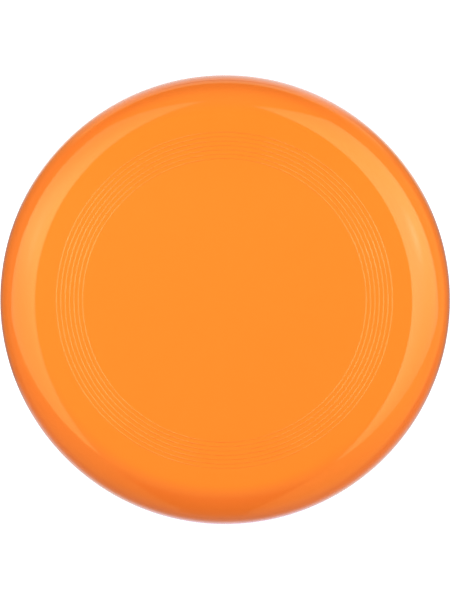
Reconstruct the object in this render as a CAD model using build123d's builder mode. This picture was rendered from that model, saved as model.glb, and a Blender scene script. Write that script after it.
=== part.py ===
"""Flying disc: a one-piece injection moulding, thin-walled and open underneath.

Frame: millimetres, +Z up. The origin is the centre of the circle that the disc rests on, with the flight
plate on top and the rim's foot on Z = 0. The disc is a solid of revolution about Z, apart from six small
ejector marks under the plate.
"""

import os
from math import asin, cos, degrees, radians, sin, tan

from build123d import *

# Outside: a flat plate, then one arc that turns down over the shoulder, past the equator and in to the foot
DISC_RADIUS = 115.0
SHOULDER_RADIUS = 20.5
EQUATOR_HEIGHT = 7.5  # where the outside is widest and stands upright

# Walls of the plate and of the side
PLATE_WALL = 1.5
SIDE_WALL = 1.8

# Flight rings: fine ridges on top of the plate, with straight flanks and a rounded crest
RING_COUNT = 7
FIRST_RING_RADIUS = 72.3
RING_PITCH = 2.22
RING_WIDTH = 0.6
RING_FLANK_SLOPE = 21.0  # degrees
RING_CREST_RADIUS = 0.1

# Lip: the thick lower edge of the rim, which the fingers hold and the disc stands on
LIP_WALL = 3.6
LIP_HEIGHT = 3.4
LIP_BLEND_HEIGHT = 2.6  # height over which the lip thins out into the side wall
FOOT_FILLET = 1.1
LIP_FILLET = 1.0

# Gate vestige in the middle of the underside, where the melt came in
GATE_PAD_RADIUS = 4.5
GATE_PAD_DEPTH = 0.4
GATE_NUB_RADIUS = 1.25
GATE_NUB_DEPTH = 0.7

# Ejector marks: shallow round dents under the plate
EJECTOR_COUNT = 6
EJECTOR_CIRCLE_RADIUS = 78.0
EJECTOR_RADIUS = 3.0
EJECTOR_DEPTH = 0.12

NODE = "disc_shell"

CREST_REACH = RING_CREST_RADIUS * sin(radians(RING_FLANK_SLOPE))  # from a ridge's middle to its flank
FLANK_HEIGHT = (RING_WIDTH / 2 - CREST_REACH) * tan(radians(RING_FLANK_SLOPE))
RING_HEIGHT = FLANK_HEIGHT + RING_CREST_RADIUS * (1 - cos(radians(RING_FLANK_SLOPE)))
PLATE_RADIUS = DISC_RADIUS - SHOULDER_RADIUS
PLATE_HEIGHT = EQUATOR_HEIGHT + SHOULDER_RADIUS
PLATE_UNDERSIDE = PLATE_HEIGHT - PLATE_WALL
INNER_RADIUS = DISC_RADIUS - SIDE_WALL
TURN_BELOW_EQUATOR = asin(EQUATOR_HEIGHT / SHOULDER_RADIUS)
FOOT_OUTER_RADIUS = PLATE_RADIUS + SHOULDER_RADIUS * cos(TURN_BELOW_EQUATOR)
LIP_INNER_RADIUS = FOOT_OUTER_RADIUS - LIP_WALL


def ring_ridges(start):
    """Draws the plate's top from start outwards over every ridge, and returns where the last one ends."""
    for ring in range(RING_COUNT):
        middle = FIRST_RING_RADIUS + ring * RING_PITCH
        inner_foot = (middle - RING_WIDTH / 2, PLATE_HEIGHT)
        inner_crest = (middle - CREST_REACH, PLATE_HEIGHT + FLANK_HEIGHT)
        crest = (middle, PLATE_HEIGHT + RING_HEIGHT)
        outer_crest = (middle + CREST_REACH, PLATE_HEIGHT + FLANK_HEIGHT)
        outer_foot = (middle + RING_WIDTH / 2, PLATE_HEIGHT)
        Polyline(start, inner_foot, inner_crest)
        ThreePointArc(inner_crest, crest, outer_crest)
        Line(outer_crest, outer_foot)
        start = outer_foot
    return start


def outside(start):
    """Draws the rest of the plate and the arc round the rim, and returns the foot's outer corner."""
    Line(start, (PLATE_RADIUS, PLATE_HEIGHT))
    CenterArc(
        center=(PLATE_RADIUS, EQUATOR_HEIGHT),
        radius=SHOULDER_RADIUS,
        start_angle=90,
        arc_size=-90 - degrees(TURN_BELOW_EQUATOR),
    )
    return (FOOT_OUTER_RADIUS, 0)


def inside(foot_outer):
    """Draws the foot, the lip's inner face, the inner side wall and the plate's underside to the axis."""
    foot_inner = (LIP_INNER_RADIUS, 0)
    lip_top = (LIP_INNER_RADIUS, LIP_HEIGHT)
    wall_foot = (INNER_RADIUS, LIP_HEIGHT + LIP_BLEND_HEIGHT)
    wall_top = (INNER_RADIUS, EQUATOR_HEIGHT)
    underside_edge = (PLATE_RADIUS, PLATE_UNDERSIDE)
    underside_centre = (0, PLATE_UNDERSIDE)
    Polyline(foot_outer, foot_inner, lip_top, wall_foot, wall_top)
    EllipticalCenterArc(
        center=(PLATE_RADIUS, EQUATOR_HEIGHT),
        x_radius=SHOULDER_RADIUS - SIDE_WALL,
        y_radius=SHOULDER_RADIUS - PLATE_WALL,
        arc_size=90,
    )
    Line(underside_edge, underside_centre)
    return underside_centre


def corners_near(sketch, *points):
    """The sketch's vertices at these (radius, height) points of the section."""
    return [min(sketch.vertices(), key=lambda v: abs(v.X - r) + abs(v.Y - z)) for r, z in points]


with BuildPart() as disc:
    # The section has radius along X and height along Z.
    with BuildSketch(Plane.XZ) as section:
        with BuildLine():
            plate_centre = (0, PLATE_HEIGHT)
            underside_centre = inside(outside(ring_ridges(plate_centre)))
            Line(underside_centre, plate_centre)
        make_face()
        foot_corners = corners_near(section, (FOOT_OUTER_RADIUS, 0), (LIP_INNER_RADIUS, 0))
        fillet(foot_corners, radius=FOOT_FILLET)
        lip_corners = corners_near(
            section, (LIP_INNER_RADIUS, LIP_HEIGHT), (INNER_RADIUS, LIP_HEIGHT + LIP_BLEND_HEIGHT)
        )
        fillet(lip_corners, radius=LIP_FILLET)
    revolve(axis=Axis.Z)

    with BuildSketch(Plane.XY.offset(PLATE_UNDERSIDE)):
        Circle(GATE_PAD_RADIUS)
    extrude(amount=-GATE_PAD_DEPTH)
    with BuildSketch(Plane.XY.offset(PLATE_UNDERSIDE - GATE_PAD_DEPTH)):
        Circle(GATE_NUB_RADIUS)
    extrude(amount=-GATE_NUB_DEPTH)

    with BuildSketch(Plane.XY.offset(PLATE_UNDERSIDE)):
        with PolarLocations(EJECTOR_CIRCLE_RADIUS, EJECTOR_COUNT):
            Circle(EJECTOR_RADIUS)
    extrude(amount=EJECTOR_DEPTH, mode=Mode.SUBTRACT)

disc.part.label = NODE
os.makedirs("parts", exist_ok=True)
export_step(disc.part, f"parts/{NODE}.step")
print(NODE, "volume", round(disc.part.volume), "mm3, valid", disc.part.is_valid)
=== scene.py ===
"""Looks of a one-piece flying disc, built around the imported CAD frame.

Metres, +Z up. The disc stands on its foot at Z = 0 and is a solid of revolution about Z. Its section is drawn
here as (radius, height) points and turned into one dense, smooth mesh, which stands for the CAD node. It
lies on pale paper between two large softboxes, and the camera looks straight down at it.
"""

import math

import bmesh
import bpy
from mathutils import Matrix, Vector


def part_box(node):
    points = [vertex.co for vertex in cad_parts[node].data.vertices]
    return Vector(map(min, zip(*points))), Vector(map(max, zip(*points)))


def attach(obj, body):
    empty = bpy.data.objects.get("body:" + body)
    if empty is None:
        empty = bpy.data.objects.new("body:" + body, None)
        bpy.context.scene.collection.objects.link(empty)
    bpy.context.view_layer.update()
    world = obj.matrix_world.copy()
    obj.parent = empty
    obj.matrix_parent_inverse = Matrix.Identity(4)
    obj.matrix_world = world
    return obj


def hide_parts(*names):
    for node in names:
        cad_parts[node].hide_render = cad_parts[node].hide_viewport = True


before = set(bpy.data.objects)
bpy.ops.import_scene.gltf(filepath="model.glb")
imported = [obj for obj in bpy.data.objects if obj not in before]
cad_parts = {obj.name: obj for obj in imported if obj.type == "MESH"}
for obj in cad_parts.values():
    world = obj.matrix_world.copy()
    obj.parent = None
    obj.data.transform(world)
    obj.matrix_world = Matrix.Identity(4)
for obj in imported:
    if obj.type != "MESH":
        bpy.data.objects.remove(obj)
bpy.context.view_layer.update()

NODE = "disc_shell"
MM = 0.001

# Section of the moulding
SHOULDER_RADIUS = 20.5 * MM
PLATE_WALL = 1.5 * MM
SIDE_WALL = 1.8 * MM
RING_COUNT = 7
FIRST_RING_RADIUS = 72.3 * MM
RING_PITCH = 2.22 * MM
RING_WIDTH = 0.6 * MM
RING_FLANK_SLOPE = math.radians(21)
RING_CREST_RADIUS = 0.1 * MM
LIP_WALL = 3.6 * MM
LIP_HEIGHT = 3.4 * MM
LIP_BLEND_HEIGHT = 2.6 * MM
FOOT_FILLET = 1.1 * MM
LIP_FILLET = 1.0 * MM
GATE_PAD_RADIUS = 4.5 * MM
GATE_PAD_DEPTH = 0.4 * MM
GATE_NUB_RADIUS = 1.25 * MM
GATE_NUB_DEPTH = 0.7 * MM

# Worked out from those and from the frame
CREST_REACH = RING_CREST_RADIUS * math.sin(RING_FLANK_SLOPE)
FLANK_HEIGHT = (RING_WIDTH / 2 - CREST_REACH) * math.tan(RING_FLANK_SLOPE)
RING_HEIGHT = FLANK_HEIGHT + RING_CREST_RADIUS * (1 - math.cos(RING_FLANK_SLOPE))
low_corner, high_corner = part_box(NODE)
DISC_RADIUS = high_corner.x
PLATE_TOP = high_corner.z - RING_HEIGHT
PLATE_RADIUS = DISC_RADIUS - SHOULDER_RADIUS
EQUATOR_HEIGHT = PLATE_TOP - SHOULDER_RADIUS
PLATE_UNDERSIDE = PLATE_TOP - PLATE_WALL
INNER_RADIUS = DISC_RADIUS - SIDE_WALL
TURN_BELOW_EQUATOR = math.asin(EQUATOR_HEIGHT / SHOULDER_RADIUS)
FOOT_OUTER_RADIUS = PLATE_RADIUS + SHOULDER_RADIUS * math.cos(TURN_BELOW_EQUATOR)
LIP_INNER_RADIUS = FOOT_OUTER_RADIUS - LIP_WALL

# Mesh density
TURN_STEPS = 400
FLAT_STEPS = 8
CREST_STEPS = 4
SHOULDER_STEPS = 72
FILLET_STEPS = 12
SHARP_ANGLE = math.radians(13)  # above the arcs' and crests' steps, and below the slope of a ridge's flank


# ---------------------------------------------------------------------------------------------- section

def flat(start, end, steps):
    """Points from start up to, but not including, end."""
    return [
        (start[0] + (end[0] - start[0]) * i / steps, start[1] + (end[1] - start[1]) * i / steps)
        for i in range(steps)
    ]


def turned_down(x_radius, z_radius, from_turn, to_turn, steps):
    """Points of the arc over the shoulder, both ends included. A turn of 0 is the plate's edge, a quarter
    turn is the equator, and more than that is under it."""
    points = []
    for i in range(steps + 1):
        turn = from_turn + (to_turn - from_turn) * i / steps
        points.append((PLATE_RADIUS + x_radius * math.sin(turn), EQUATOR_HEIGHT + z_radius * math.cos(turn)))
    return points


def ring_ridges():
    """The plate's ridges, each with two straight flanks and a rounded crest."""
    points = []
    for ring in range(RING_COUNT):
        middle = FIRST_RING_RADIUS + ring * RING_PITCH
        points.append((middle - RING_WIDTH / 2, PLATE_TOP))
        for i in range(CREST_STEPS + 1):
            turn = RING_FLANK_SLOPE * (2 * i / CREST_STEPS - 1)
            drop = RING_CREST_RADIUS * (1 - math.cos(turn))
            points.append((middle + RING_CREST_RADIUS * math.sin(turn), PLATE_TOP + RING_HEIGHT - drop))
        points.append((middle + RING_WIDTH / 2, PLATE_TOP))
    return points


def rounded(before, corner, after, radius):
    """Points of the fillet that rounds a corner between two straight stretches."""
    c = Vector(corner)
    to_before, to_after = (Vector(before) - c).normalized(), (Vector(after) - c).normalized()
    half = to_before.angle(to_after) / 2
    reach = radius / math.tan(half)
    middle = c + (to_before + to_after).normalized() * (radius / math.sin(half))
    spoke = c + to_before * reach - middle
    sweep = math.pi - 2 * half
    if spoke.cross(c + to_after * reach - middle) < 0:
        sweep = -sweep
    points = []
    for i in range(FILLET_STEPS + 1):
        turn = sweep * i / FILLET_STEPS
        x = spoke.x * math.cos(turn) - spoke.y * math.sin(turn)
        z = spoke.x * math.sin(turn) + spoke.y * math.cos(turn)
        points.append((middle.x + x, middle.y + z))
    return points


def outside_points():
    """From the top's centre out over the rings and the shoulder, under the equator and round to the foot."""
    quarter = math.pi / 2
    points = flat((0, PLATE_TOP), (FIRST_RING_RADIUS - RING_WIDTH, PLATE_TOP), FLAT_STEPS)
    points += ring_ridges()
    points += turned_down(SHOULDER_RADIUS, SHOULDER_RADIUS, 0, quarter, SHOULDER_STEPS)
    under = turned_down(
        SHOULDER_RADIUS, SHOULDER_RADIUS, quarter, quarter + TURN_BELOW_EQUATOR, SHOULDER_STEPS // 4
    )
    # The foot's fillet takes over from the arc's last stretch, which is as good as straight
    fillet_top = 1.15 * FOOT_FILLET
    points += [p for p in under[1:] if p[1] > fillet_top]
    points += rounded(under[-3], (FOOT_OUTER_RADIUS, 0), (LIP_INNER_RADIUS, 0), FOOT_FILLET)
    return points


def inside_points():
    """From the foot up the lip and the side wall, and over the plate's underside to the gate's nub."""
    foot_outer, foot_inner = (FOOT_OUTER_RADIUS, 0), (LIP_INNER_RADIUS, 0)
    lip_top = (LIP_INNER_RADIUS, LIP_HEIGHT)
    wall_foot = (INNER_RADIUS, LIP_HEIGHT + LIP_BLEND_HEIGHT)
    wall_top = (INNER_RADIUS, EQUATOR_HEIGHT)
    points = rounded(foot_outer, foot_inner, lip_top, FOOT_FILLET)
    points += rounded(foot_inner, lip_top, wall_foot, LIP_FILLET)
    points += rounded(lip_top, wall_foot, wall_top, LIP_FILLET)
    points += turned_down(
        SHOULDER_RADIUS - SIDE_WALL, SHOULDER_RADIUS - PLATE_WALL, math.pi / 2, 0, SHOULDER_STEPS // 2
    )
    pad_level = PLATE_UNDERSIDE - GATE_PAD_DEPTH
    nub_level = pad_level - GATE_NUB_DEPTH
    points += flat((PLATE_RADIUS, PLATE_UNDERSIDE), (GATE_PAD_RADIUS, PLATE_UNDERSIDE), FLAT_STEPS)[1:]
    points += [(GATE_PAD_RADIUS, PLATE_UNDERSIDE), (GATE_PAD_RADIUS, pad_level)]
    points += [(GATE_NUB_RADIUS, pad_level), (GATE_NUB_RADIUS, nub_level), (0, nub_level)]
    return points


# ---------------------------------------------------------------------------------------------- mesh

def revolved(name, points):
    """A closed mesh: the section turned about Z. Its first and last points lie on the axis."""
    mesh = bpy.data.meshes.new(name)
    bm = bmesh.new()
    rings = []
    for radius, height in points:
        if radius == 0:
            rings.append([bm.verts.new((0, 0, height))])
            continue
        ring = []
        for step in range(TURN_STEPS):
            turn = 2 * math.pi * step / TURN_STEPS
            ring.append(bm.verts.new((radius * math.cos(turn), radius * math.sin(turn), height)))
        rings.append(ring)
    for upper, lower in zip(rings, rings[1:]):
        for step in range(TURN_STEPS):
            after = (step + 1) % TURN_STEPS
            if len(upper) == 1:
                bm.faces.new((upper[0], lower[step], lower[after]))
            elif len(lower) == 1:
                bm.faces.new((upper[after], upper[step], lower[0]))
            else:
                bm.faces.new((upper[step], lower[step], lower[after], upper[after]))
    bmesh.ops.recalc_face_normals(bm, faces=bm.faces)
    bm.to_mesh(mesh)
    bm.free()
    return mesh


def linked(name, data):
    """An object for the mesh or lamp, in the scene."""
    piece = bpy.data.objects.new(name, data)
    bpy.context.scene.collection.objects.link(piece)
    return piece


def build_disc():
    """The moulding, with the polished outside and the satin inside on their own materials."""
    outside, inside = outside_points(), inside_points()
    mesh = revolved("disc_moulding", outside + inside)
    disc = linked("disc_moulding", mesh)
    mesh.materials.append(moulded_plastic("orange_polished", roughness=0.045, texture_depth=0.02))
    mesh.materials.append(moulded_plastic("orange_satin", roughness=0.32, texture_depth=0.25))
    for face in mesh.polygons:
        face.use_smooth = True
        if face.index >= (len(outside) - 1) * TURN_STEPS:
            face.material_index = 1
    mesh.set_sharp_from_angle(angle=SHARP_ANGLE)
    return disc


# ---------------------------------------------------------------------------------------------- material

class Tree:
    """Short ways to add the few kinds of node that the materials use."""

    def __init__(self, material):
        material.use_nodes = True
        self.nodes = material.node_tree.nodes
        self.links = material.node_tree.links

    def join(self, source, target):
        """Links a socket, or sets the target to a plain value."""
        if isinstance(source, (int, float, tuple)):
            target.default_value = source
        else:
            self.links.new(source, target)

    def math(self, operation, a, b=0.0):
        node = self.nodes.new("ShaderNodeMath")
        node.operation = operation
        self.join(a, node.inputs[0])
        self.join(b, node.inputs[1])
        return node.outputs[0]

    def fade(self, value, start, end, low=0.0, high=1.0, smooth=True):
        """Goes from low to high as the value goes from start to end, and stays there outside them."""
        node = self.nodes.new("ShaderNodeMapRange")
        node.interpolation_type = "SMOOTHSTEP" if smooth else "LINEAR"
        self.join(value, node.inputs["Value"])
        node.inputs["From Min"].default_value = start
        node.inputs["From Max"].default_value = end
        node.inputs["To Min"].default_value = low
        node.inputs["To Max"].default_value = high
        return node.outputs["Result"]

    def levels(self, value, span, stops):
        """A level that runs in straight lines through (value, level) stops, over values from 0 to span."""
        node = self.nodes.new("ShaderNodeValToRGB")
        peak = max(level for _, level in stops)
        elements = node.color_ramp.elements
        while len(elements) < len(stops):
            elements.new(0.5)
        for element, (at, level) in zip(elements, stops):
            element.position = at / span
            element.color = (level / peak, level / peak, level / peak, 1)
        self.links.new(self.math("DIVIDE", value, span), node.inputs["Fac"])
        return self.math("MULTIPLY", node.outputs["Color"], peak)

    def mixed(self, share, a, b):
        """A plain number between a and b."""
        return self.math("ADD", self.math("MULTIPLY", share, b), self.math(
            "MULTIPLY", self.math("SUBTRACT", 1.0, share), a))

    def noise(self, place, scale, detail):
        node = self.nodes.new("ShaderNodeTexNoise")
        node.inputs["Scale"].default_value = scale
        node.inputs["Detail"].default_value = detail
        self.links.new(place, node.inputs["Vector"])
        return node.outputs["Fac"]

    def vector(self, operation, a, b=None, c=None):
        node = self.nodes.new("ShaderNodeVectorMath")
        node.operation = operation
        for source, target in zip((a, b, c), node.inputs):
            if source is not None:
                self.join(source, target)
        return node.outputs[0]

    def split(self, source):
        node = self.nodes.new("ShaderNodeSeparateXYZ")
        self.join(source, node.inputs[0])
        return node.outputs

    def combined(self, *parts):
        node = self.nodes.new("ShaderNodeCombineXYZ")
        for source, target in zip(parts, node.inputs):
            self.join(source, target)
        return node.outputs[0]

    def place(self):
        return self.nodes.new("ShaderNodeTexCoord").outputs["Object"]


def moulded_plastic(name, roughness, texture_depth):
    """Orange polypropylene: faint flow lines from the gate, uneven gloss and a very shallow orange peel, with
    painted shade towards the back and low on the rim.
    """
    material = bpy.data.materials.new(name)
    tree = Tree(material)
    shader = tree.nodes["Principled BSDF"]
    shader.inputs["IOR"].default_value = 1.5
    shader.inputs["Specular Tint"].default_value = (1.0, 1.0, 0.27, 1)
    place = tree.place()

    # Flow lines run outwards from the gate, so their noise varies with direction and hardly with radius
    in_plane = tree.vector("MULTIPLY", place, (1.0, 1.0, 0.0))
    outwards = tree.vector("NORMALIZE", in_plane)
    flow = tree.noise(tree.vector("MULTIPLY_ADD", in_plane, (6.0, 6.0, 6.0), outwards), 5.0, 4.0)
    colour = tree.nodes.new("ShaderNodeMix")
    colour.data_type = "RGBA"
    colour.inputs["A"].default_value = (0.945, 0.190, 0.0235, 1)
    colour.inputs["B"].default_value = (0.955, 0.196, 0.0255, 1)
    tree.join(flow, colour.inputs["Factor"])

    # Painted shade: the colour is made a richer, darker orange towards the back and darker low on the rim.
    # That makes up for shade that the lamps below don't give, and isn't a trait of the plastic: without it
    # the colour is even
    _, y, z = tree.split(place)
    painted_back_shade = tree.fade(y, 0.045, 0.095)
    painted_low_rim_shade = tree.fade(z, 0.0115, 0.016, 0.74, 1.0, False)
    # The base colour's multiplier, carrying both painted shades
    share = tree.combined(
        painted_low_rim_shade,
        tree.math("MULTIPLY", painted_low_rim_shade, tree.mixed(painted_back_shade, 1.0, 0.93)),
        tree.math("MULTIPLY", painted_low_rim_shade, tree.mixed(painted_back_shade, 1.0, 0.87)),
    )
    tree.join(tree.vector("MULTIPLY", colour.outputs["Result"], share), shader.inputs["Base Color"])

    # Gloss: soft cloudy patches, as handled plastic has
    cloud = tree.noise(place, 22.0, 6.0)
    tree.join(tree.fade(cloud, 0.0, 1.0, roughness * 0.8, roughness * 1.2, False), shader.inputs["Roughness"])

    # Orange peel left by the mould
    bump = tree.nodes.new("ShaderNodeBump")
    bump.inputs["Strength"].default_value = texture_depth
    bump.inputs["Distance"].default_value = 0.00005
    tree.join(tree.noise(place, 900.0, 3.0), bump.inputs["Height"])
    tree.join(bump.outputs["Normal"], shader.inputs["Normal"])
    return material


def glowing(name):
    """An emitting material for things that only the gloss mirrors, with its tree and its emission node."""
    material = bpy.data.materials.new(name)
    tree = Tree(material)
    tree.nodes.remove(tree.nodes["Principled BSDF"])
    emission = tree.nodes.new("ShaderNodeEmission")
    tree.links.new(emission.outputs[0], tree.nodes["Material Output"].inputs["Surface"])
    material.cycles.emission_sampling = "NONE"
    return material, tree, emission


# ---------------------------------------------------------------------------------------------- studio

def only_in_reflections(card):
    """The card shows in the plastic's gloss, and neither lights the scene nor gets in the camera's way."""
    card.visible_camera = False
    card.visible_diffuse = False
    card.visible_transmission = False
    card.visible_volume_scatter = False
    card.visible_shadow = False


def soft_light(name, placed, width, height, radiance):
    """A rectangular lamp of the given radiance that shines along its -Z and that the gloss doesn't show."""
    lamp_data = bpy.data.lights.new(name, "AREA")
    lamp_data.shape = "RECTANGLE"
    lamp_data.size, lamp_data.size_y = width, height
    lamp_data.energy = radiance * math.pi * width * height
    lamp = linked(name, lamp_data)
    lamp.matrix_world = placed
    lamp.visible_glossy = False
    lamp.visible_camera = False


def softbox(name, corner, across, along, brightness, slant, cores, lamp_radiance):
    """A softbox facing the disc: a panel that the gloss mirrors, and a lamp of the same shape.

    It starts at corner and spans the vectors across and along. Its brightness runs through the stops from
    the start to the end of along, changes by slant from the start to the end of across, and gains in soft
    cores, each given by its place and half-widths along both and by its height, in white and in blue.
    """
    x, y = Vector(across).normalized(), Vector(along).normalized()
    z = x.cross(y).normalized()
    middle = Vector(corner) + Vector(across) / 2 + Vector(along) / 2
    placed = Matrix.Translation(middle) @ Matrix((x, z.cross(x), z)).transposed().to_4x4()
    width, height = Vector(across).length, Vector(along).length

    mesh = bpy.data.meshes.new(name)
    a, b = width / 2, height / 2
    mesh.from_pydata([(-a, -b, 0), (a, -b, 0), (a, b, 0), (-a, b, 0)], [], [(0, 1, 2, 3)])
    card = linked(name, mesh)
    card.matrix_world = placed
    material, tree, emission = glowing(name)
    card_x, card_y, _ = tree.split(tree.place())

    # Shares of the way across and along the panel, and its brightness there, a little less at the far side
    u = tree.math("ADD", tree.math("DIVIDE", card_x, width), 0.5)
    v = tree.math("ADD", tree.math("DIVIDE", card_y, height), 0.5)
    level = tree.levels(v, 1.0, brightness)
    level = tree.math("MULTIPLY", level, tree.fade(u, 0.0, 1.0, 1 - slant / 2, 1 + slant / 2, False))
    level = tree.math("MULTIPLY", level, tree.fade(u, 0.75, 1.0, 1.0, 0.85))

    # Soft cores
    blue = level
    for at_u, at_v, half_u, half_v, white_gain, blue_gain in cores:
        du = tree.math("DIVIDE", tree.math("SUBTRACT", u, at_u), half_u)
        dv = tree.math("DIVIDE", tree.math("SUBTRACT", v, at_v), half_v)
        spread = tree.math("ADD", tree.math("MULTIPLY", du, du), tree.math("MULTIPLY", dv, dv))
        hot = tree.math("EXPONENT", tree.math("MULTIPLY", spread, -1.0))
        level = tree.math("ADD", level, tree.math("MULTIPLY", hot, white_gain))
        blue = tree.math("ADD", blue, tree.math("MULTIPLY", hot, blue_gain))

    # The panel dims close to its two long edges
    edge = tree.fade(tree.math("MINIMUM", u, tree.math("SUBTRACT", 1.0, u)), 0.0, 0.06, 0.7, 1.0)
    level = tree.math("MULTIPLY", level, edge)
    blue = tree.math("MULTIPLY", blue, edge)
    tree.join(tree.combined(level, level, blue), emission.inputs["Color"])
    mesh.materials.append(material)
    only_in_reflections(card)

    # A lamp shines along its -Z, so a panel whose own +Z looks at the disc has its lamp turned round
    towards_disc = placed
    if z.dot(middle) < 0:
        towards_disc = placed @ Matrix.Rotation(math.pi, 4, "Y")
    soft_light(name + "_lamp", towards_disc, width, height, lamp_radiance)


def build_softboxes():
    """One on each side of the camera. The right one is the brighter."""
    softbox("softbox_left", (-0.084, 0.771, 0.786), (-0.640, 0.242, -0.420), (-0.179, -1.093, -0.391),
            [(0.0, 2.55), (0.09, 2.85), (0.34, 3.2), (0.50, 3.75), (0.60, 4.3), (0.66, 4.5), (0.73, 3.8),
             (0.80, 3.3), (0.90, 3.0), (1.0, 2.6)],
            slant=-0.3, cores=[(0.3, 0.62, 0.35, 0.13, 0.7, 2.0), (0.33, 0.66, 0.08, 0.05, 0.7, 1.5)],
            lamp_radiance=1.3)
    softbox("softbox_right", (0.069, 0.622, 0.904), (0.444, 0.271, -0.502), (0.145, -0.956, -0.409),
            [(0.0, 3.45), (0.16, 3.95), (0.34, 4.6), (0.53, 5.35), (0.66, 5.85), (0.72, 5.5), (0.80, 4.75),
             (0.90, 3.8), (1.0, 2.9)],
            slant=0.1, cores=[(0.55, 0.665, 0.1, 0.05, 2.0, 6.0), (0.3, 0.66, 0.5, 0.15, 0.0, 2.2)],
            lamp_radiance=0.7)


def build_fill_lamps():
    """Broad lamps that shape the plastic's own colour: overhead, at each side, in front and behind."""
    down = Matrix.Translation((0, 0.4, 2.0))
    soft_light("overhead_lamp", down, 1.6, 1.6, 1.98)
    for name, side, radiance in (("left_lamp", -1, 1.5), ("right_lamp", 1, 5.0)):
        turn = Matrix.Rotation(side * math.pi / 2, 4, "Y")
        soft_light(name, Matrix.Translation((side * 2.0, 0, 0.6)) @ turn, 0.8, 2.0, radiance)
    front = Matrix.Translation((0, -2.5, 0.8)) @ Matrix.Rotation(math.pi / 2, 4, "X")
    soft_light("front_lamp", front, 3.0, 1.2, 3.0)
    back = Matrix.Translation((0, 2.5, 0.8)) @ Matrix.Rotation(-math.pi / 2, 4, "X")
    soft_light("back_lamp", back, 3.0, 1.2, 1.4)


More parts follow.
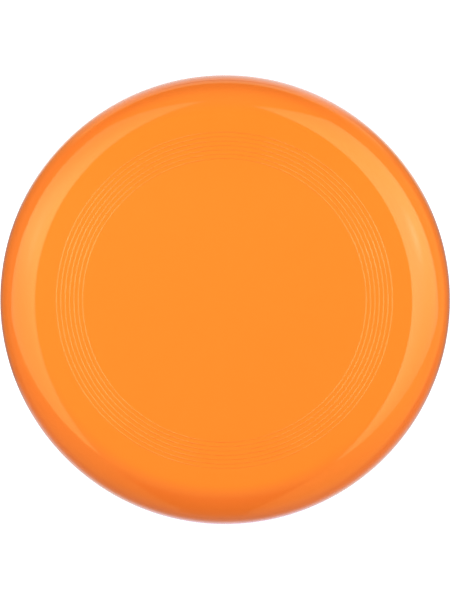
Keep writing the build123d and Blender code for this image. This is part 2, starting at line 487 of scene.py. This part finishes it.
def build_surroundings():
    """Everything else that the gloss mirrors: a bright scrim overhead and behind, darkening to the front;
    low walls, brightest at the right, with a dark gap in front; and the paper round the disc, in shade left
    and right. Each has its own share of blue, since the shaded parts are tinted by the disc itself.

    Places on the dome are given in degrees: from_top from straight up, and turn from +X towards +Y."""
    bm = bmesh.new()
    bmesh.ops.create_uvsphere(bm, u_segments=64, v_segments=32, radius=2.2)
    mesh = bpy.data.meshes.new("surroundings")
    bm.to_mesh(mesh)
    bm.free()
    dome = linked("surroundings", mesh)
    material, tree, emission = glowing("surroundings")
    x, y, z = tree.split(tree.vector("NORMALIZE", tree.place()))
    from_top = tree.math("MULTIPLY", tree.math("ARCCOSINE", z), 180 / math.pi)
    turn = tree.math("MULTIPLY", tree.math("ARCTAN2", y, x), 180 / math.pi)
    turn = tree.math("ADD", turn, tree.math("MULTIPLY", tree.math("LESS_THAN", turn, 0.0), 360.0))
    sine = tree.math("SINE", tree.math("RADIANS", turn))
    above = tree.math("MAXIMUM", z, 0.02)

    # Scrim: it darkens towards the horizon and to the front, sooner in the middle than at the sides
    forwards = tree.math("ADD", y, tree.math("MULTIPLY", tree.math("ABSOLUTE", x), 0.35))
    scrim = tree.fade(tree.math("DIVIDE", forwards, above), -0.95, 0.1, 0.0, 2.2, False)
    scrim = tree.math("MULTIPLY", scrim, tree.levels(from_top, 180, [
        (0, 1), (10, 0.96), (45, 0.95), (65, 0.8), (75, 0.6), (88, 0.34), (96, 0.3), (180, 0.3)]))

    # Walls, with the dark gap in front, which widens away from the disc
    wall = tree.levels(turn, 360, [
        (0, 1.85), (30, 2.0), (50, 1.8), (75, 0.9), (100, 0.6), (130, 0.75), (165, 0.8), (205, 0.75),
        (225, 0.9), (238, 0.65), (255, 0.55), (275, 0.5), (290, 0.9), (310, 1.3), (330, 1.9), (360, 1.85)])
    wall = tree.math("MULTIPLY", wall, tree.levels(from_top, 180, [
        (0, 0), (12, 0.2), (32, 1.1), (60, 1.0), (90, 0.8), (104, 0.76), (118, 0.6), (180, 0.6)]))
    left_edge = tree.math("SUBTRACT", tree.math("MULTIPLY", y, 0.22), x)
    left_side = tree.fade(tree.math("DIVIDE", left_edge, above), 0.3, 0.5)
    right_edge = tree.math("ADD", tree.math("MULTIPLY", y, 0.085), x)
    right_side = tree.fade(tree.math("DIVIDE", right_edge, above), 0.2, 0.36)
    beside_gap = tree.math("MAXIMUM", tree.math("MAXIMUM", left_side, right_side), tree.fade(y, -0.2, 0.0))
    sky = tree.math("MAXIMUM", scrim, tree.math("MULTIPLY", wall, beside_gap))
    wall_blue = tree.levels(turn, 360, [
        (0, 0.3), (60, 0.3), (90, 0.42), (120, 0.36), (160, 0.42), (200, 0.55), (225, 0.75), (250, 1.0),
        (285, 1.0), (300, 0.6), (330, 0.4), (360, 0.3)])
    sky_blue = tree.mixed(tree.fade(from_top, 8, 50), 0.08, wall_blue)

    # Paper: dimmer far from the disc in front, with a level of its own close under the rim elsewhere, and
    # at the back a bright far strip and a dark seam
    paper = tree.levels(turn, 360, [
        (0, 0.35), (25, 0.4), (40, 0.6), (50, 0.9), (58, 1.6), (66, 2.0), (78, 2.0), (90, 1.75), (120, 1.75),
        (128, 1.2), (136, 0.7), (150, 0.35), (200, 0.35), (212, 1.1), (225, 1.25), (245, 1.4), (270, 1.6),
        (300, 1.4), (325, 0.9), (342, 0.4), (360, 0.35)])
    at_back, at_front = tree.fade(sine, 0.6, 0.95), tree.fade(sine, -0.15, -0.5)
    near = tree.levels(from_top, 180, [(0, 0.22), (104, 0.22), (118, 0.35), (126, 0.5), (142, 1), (180, 1)])
    paper = tree.math("MULTIPLY", paper, tree.mixed(at_front, 1.0, near))
    touching = tree.fade(sine, 0.25, 0.7, 0.4, 1.7)
    steep = tree.math("MULTIPLY", tree.fade(from_top, 135, 150), tree.fade(sine, -0.15, 0.0))
    paper = tree.mixed(steep, paper, touching)
    seam = tree.math("MULTIPLY", tree.fade(from_top, 113, 115), tree.fade(from_top, 120, 117))
    seam = tree.math("MULTIPLY", seam, tree.fade(sine, 0.94, 0.98))
    paper = tree.math("MULTIPLY", paper, tree.mixed(seam, 1.0, 0.1))
    strip = tree.levels(turn, 360, [
        (0, 0), (34, 0), (46, 1.8), (70, 1.9), (90, 1.75), (125, 1.65), (133, 1.3), (140, 0), (360, 0)])
    paper = tree.math("MAXIMUM", paper, tree.math("MULTIPLY", strip, tree.fade(from_top, 119, 114)))
    back_blue = tree.levels(from_top, 180, [
        (0, 0.35), (98, 0.4), (104, 0.75), (112, 0.9), (130, 1.05), (180, 1.05)])
    side_blue = tree.levels(from_top, 180, [(0, 0.35), (118, 0.35), (134, 0.55), (150, 1), (180, 1)])
    front_blue = tree.fade(sine, -0.85, -1.0, 1.05, 1.25)
    paper_blue = tree.mixed(at_front, tree.mixed(at_back, side_blue, back_blue), front_blue)

    # How far down the walls meet the paper, which is crisp at the back and soft elsewhere
    meets = tree.levels(turn, 360, [
        (0, 119), (20, 114), (35, 108), (50, 103), (90, 103), (120, 103), (132, 103), (150, 110), (200, 108),
        (225, 104), (270, 100), (325, 98), (340, 106), (352, 118), (360, 119)])
    past = tree.math("SUBTRACT", from_top, meets)
    below = tree.mixed(tree.fade(sine, 0.8, 0.94), tree.fade(past, -7, 7), tree.fade(past, -2, 2))
    level = tree.mixed(below, sky, paper)
    blue = tree.math("MULTIPLY", level, tree.mixed(below, sky_blue, paper_blue))

    # Bluish haze in the gap
    haze = tree.levels(from_top, 180, [
        (0, 0), (78, 0), (90, 0.3), (98, 0.35), (108, 0.25), (118, 0), (180, 0)])
    haze = tree.math("MULTIPLY", haze, tree.fade(sine, -0.75, -1.0))
    level = tree.math("ADD", level, tree.math("MULTIPLY", haze, 0.6))
    blue = tree.math("ADD", blue, haze)
    tree.join(tree.combined(level, level, blue), emission.inputs["Color"])
    mesh.materials.append(material)
    only_in_reflections(dome)


def build_floor():
    """A large sheet of pale paper just under the foot. It glows a little, so that its shadows stay faint."""
    bm = bmesh.new()
    bmesh.ops.create_circle(bm, cap_ends=True, segments=96, radius=12.0)
    mesh = bpy.data.meshes.new("floor")
    bm.to_mesh(mesh)
    bm.free()
    floor = linked("floor", mesh)
    floor.location.z = low_corner.z - 0.05 * MM
    material = bpy.data.materials.new("floor_paper")
    tree = Tree(material)
    shader = tree.nodes["Principled BSDF"]
    grain = tree.noise(tree.place(), 60.0, 5.0)
    grey = tree.fade(grain, 0.0, 1.0, 0.59, 0.61, False)
    tree.join(tree.combined(grey, grey, grey), shader.inputs["Base Color"])
    shader.inputs["Roughness"].default_value = 0.8
    shader.inputs["Specular IOR Level"].default_value = 0.1
    shader.inputs["Emission Color"].default_value = (1, 1, 1, 1)
    shader.inputs["Emission Strength"].default_value = 0.8
    mesh.materials.append(material)
    floor.visible_glossy = False
    floor.visible_diffuse = False


def build_world():
    """White behind the floor's edge, for the camera only."""
    world = bpy.data.worlds.new("studio")
    bpy.context.scene.world = world
    world.use_nodes = True
    background = world.node_tree.nodes["Background"]
    background.inputs["Color"].default_value = (1, 1, 1, 1)
    background.inputs["Strength"].default_value = 1.0
    world.cycles_visibility.diffuse = False
    world.cycles_visibility.glossy = False
    world.cycles_visibility.transmission = False
    world.cycles_visibility.scatter = False


def build_camera():
    """A long lens straight above, leaning a little to the right and the back. The disc is as wide as the
    frame, which is 3 wide to 4 high."""
    camera = linked("camera", bpy.data.cameras.new("camera"))
    distance, to_right, to_back = 6.0, math.radians(1.0), math.radians(0.8)
    frame_width = 1.0002 * 2 * DISC_RADIUS
    frame_height = frame_width * 4 / 3
    aim = Vector((0, -0.15 * MM, EQUATOR_HEIGHT))
    camera.location = aim + distance * Vector((math.sin(to_right), math.sin(to_back), 1))
    camera.rotation_euler = (-to_back, to_right, 0)
    camera.data.sensor_width = 36
    camera.data.lens = camera.data.sensor_width * distance / frame_height
    camera.data.clip_end = 20
    bpy.context.scene.camera = camera


bpy.context.scene.view_settings.view_transform = "Standard"
build_camera()
build_world()
build_floor()
build_softboxes()
build_fill_lamps()
build_surroundings()

disc = build_disc()
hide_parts(NODE)
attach(disc, "root")
